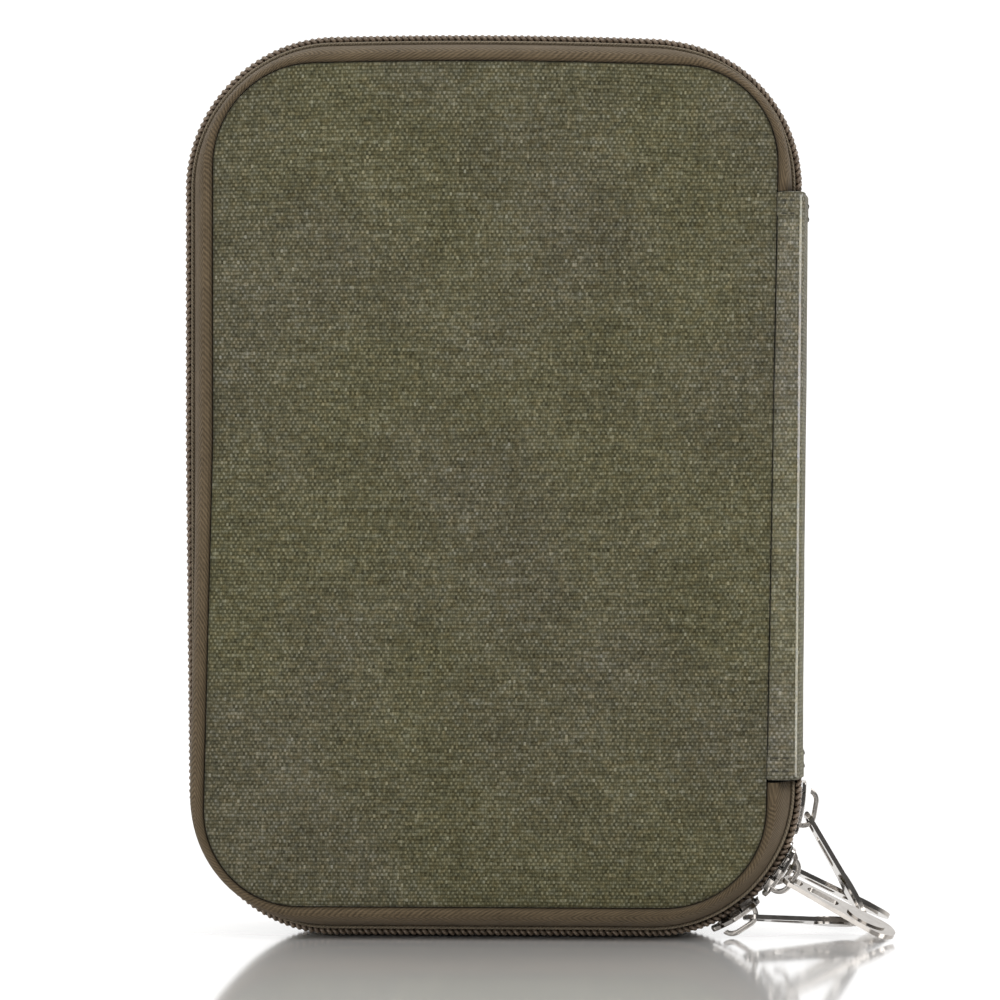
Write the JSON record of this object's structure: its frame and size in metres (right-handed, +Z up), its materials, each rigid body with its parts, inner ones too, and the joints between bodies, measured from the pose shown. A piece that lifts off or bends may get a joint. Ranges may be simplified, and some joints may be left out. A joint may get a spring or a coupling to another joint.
{
  "type": "cable organizer pouch",
  "caption": "Double-layer zip-round travel pouch in canvas with padded hinged covers, a divider with elastic cable loops, and metal zipper sliders with pull tabs.",
  "frame": {"origin": "centre of the gusset's flat base, on which the pouch stands", "axes": "+Z up along the long side, +X towards the spine, the front cover faces -Y"},
  "size_m": [0.1588, 0.046, 0.2],
  "materials": {
    "canvas": "washed olive cotton duck",
    "zipper_tape": "brown twill tape",
    "zipper_coil": "dark brown nylon coil",
    "foam_board": "foam board",
    "lining": "dark grey-olive nylon lining",
    "mesh": "black nylon mesh",
    "binding": "dark grosgrain binding",
    "elastic": "black ribbed elastic",
    "nickel": "polished nickel"
  },
  "bodies": {
    "pouch_body": {"gusset": "canvas", "gusset_lining": "lining", "front_inner_tape": "zipper_tape", "rear_inner_tape": "zipper_tape", "front_inner_coil": "zipper_coil", "rear_inner_coil": "zipper_coil", "front_tape_ends": "zipper_tape", "rear_tape_ends": "zipper_tape", "front_coil_ends": "zipper_coil", "rear_coil_ends": "zipper_coil", "spine_centre": "canvas", "divider_board": "foam_board", "front_divider_lining": "lining", "rear_divider_lining": "lining", "upper_cable_loops": "elastic", "lower_cable_loops": "elastic", "divider_mesh_pocket": "mesh", "divider_pocket_binding": "binding"},
    "front_cover": {"front_panel": "canvas", "front_zip_tape": "zipper_tape", "front_coil": "zipper_coil", "front_foam_board": "foam_board", "front_cover_lining": "lining", "front_spine_fold": "canvas", "front_mesh_pocket": "mesh", "front_pocket_binding": "binding"},
    "rear_cover": {"rear_panel": "canvas", "rear_zip_tape": "zipper_tape", "rear_coil": "zipper_coil", "rear_foam_board": "foam_board", "rear_cover_lining": "lining", "rear_spine_fold": "canvas", "rear_slip_pocket": "lining", "rear_card_pocket": "lining"},
    "slider_front_lower": {"slider_front_lower": "nickel"},
    "pull_front_lower": {"pull_front_lower": "nickel"},
    "slider_front_upper": {"slider_front_upper": "nickel"},
    "pull_front_upper": {"pull_front_upper": "nickel"},
    "slider_rear_upper": {"slider_rear_upper": "nickel"},
    "pull_rear_upper": {"pull_rear_upper": "nickel"},
    "slider_rear_lower": {"slider_rear_lower": "nickel"},
    "pull_rear_lower": {"pull_rear_lower": "nickel"}
  },
  "joints": [
    {"name": "front_cover_hinge", "type": "hinge", "parent": "pouch_body", "child": "front_cover", "pos_m": [0.0699, -0.012, 0.1], "axis": [0, 0, 1], "range_deg": [0, 180]},
    {"name": "rear_cover_hinge", "type": "hinge", "parent": "pouch_body", "child": "rear_cover", "pos_m": [0.0699, 0.012, 0.1], "axis": [0, 0, -1], "range_deg": [0, 180]},
    {"name": "front_lower_travel", "type": "hinge", "parent": "pouch_body", "child": "slider_front_lower", "pos_m": [0.036, -0.012, 0.033], "axis": [0, -1, 0], "range_deg": [-28, 0]},
    {"name": "front_lower_pull_swing", "type": "hinge", "parent": "slider_front_lower", "child": "pull_front_lower", "pos_m": [0.05671, -0.012, 0.00424], "axis": [-0.2671, 0.9448, -0.1897], "range_deg": [-5, 80]},
    {"name": "front_upper_travel", "type": "hinge", "parent": "pouch_body", "child": "slider_front_upper", "pos_m": [0.036, -0.012, 0.033], "axis": [0, -1, 0], "range_deg": [0, 22]},
    {"name": "front_upper_pull_swing", "type": "hinge", "parent": "slider_front_upper", "child": "pull_front_upper", "pos_m": [0.06519, -0.012, 0.01296], "axis": [0.2896, 0.9491, 0.124], "range_deg": [-18, 0]},
    {"name": "rear_upper_travel", "type": "hinge", "parent": "pouch_body", "child": "slider_rear_upper", "pos_m": [0.036, 0.012, 0.033], "axis": [0, -1, 0], "range_deg": [0, 2.5]},
    {"name": "rear_upper_pull_swing", "type": "hinge", "parent": "slider_rear_upper", "child": "pull_rear_upper", "pos_m": [0.07057, 0.012, 0.02518], "axis": [-0.0147, 0.9467, -0.3219], "range_deg": [-60, 12]},
    {"name": "rear_lower_travel", "type": "hinge", "parent": "pouch_body", "child": "slider_rear_lower", "pos_m": [0.036, 0.012, 0.033], "axis": [0, -1, 0], "range_deg": [-40, 0]},
    {"name": "rear_lower_pull_swing", "type": "hinge", "parent": "slider_rear_lower", "child": "pull_rear_lower", "pos_m": [0.06568, 0.012, 0.0137], "axis": [-0.2912, 0.9531, -0.0828], "range_deg": [-18, 0]}
  ]
}
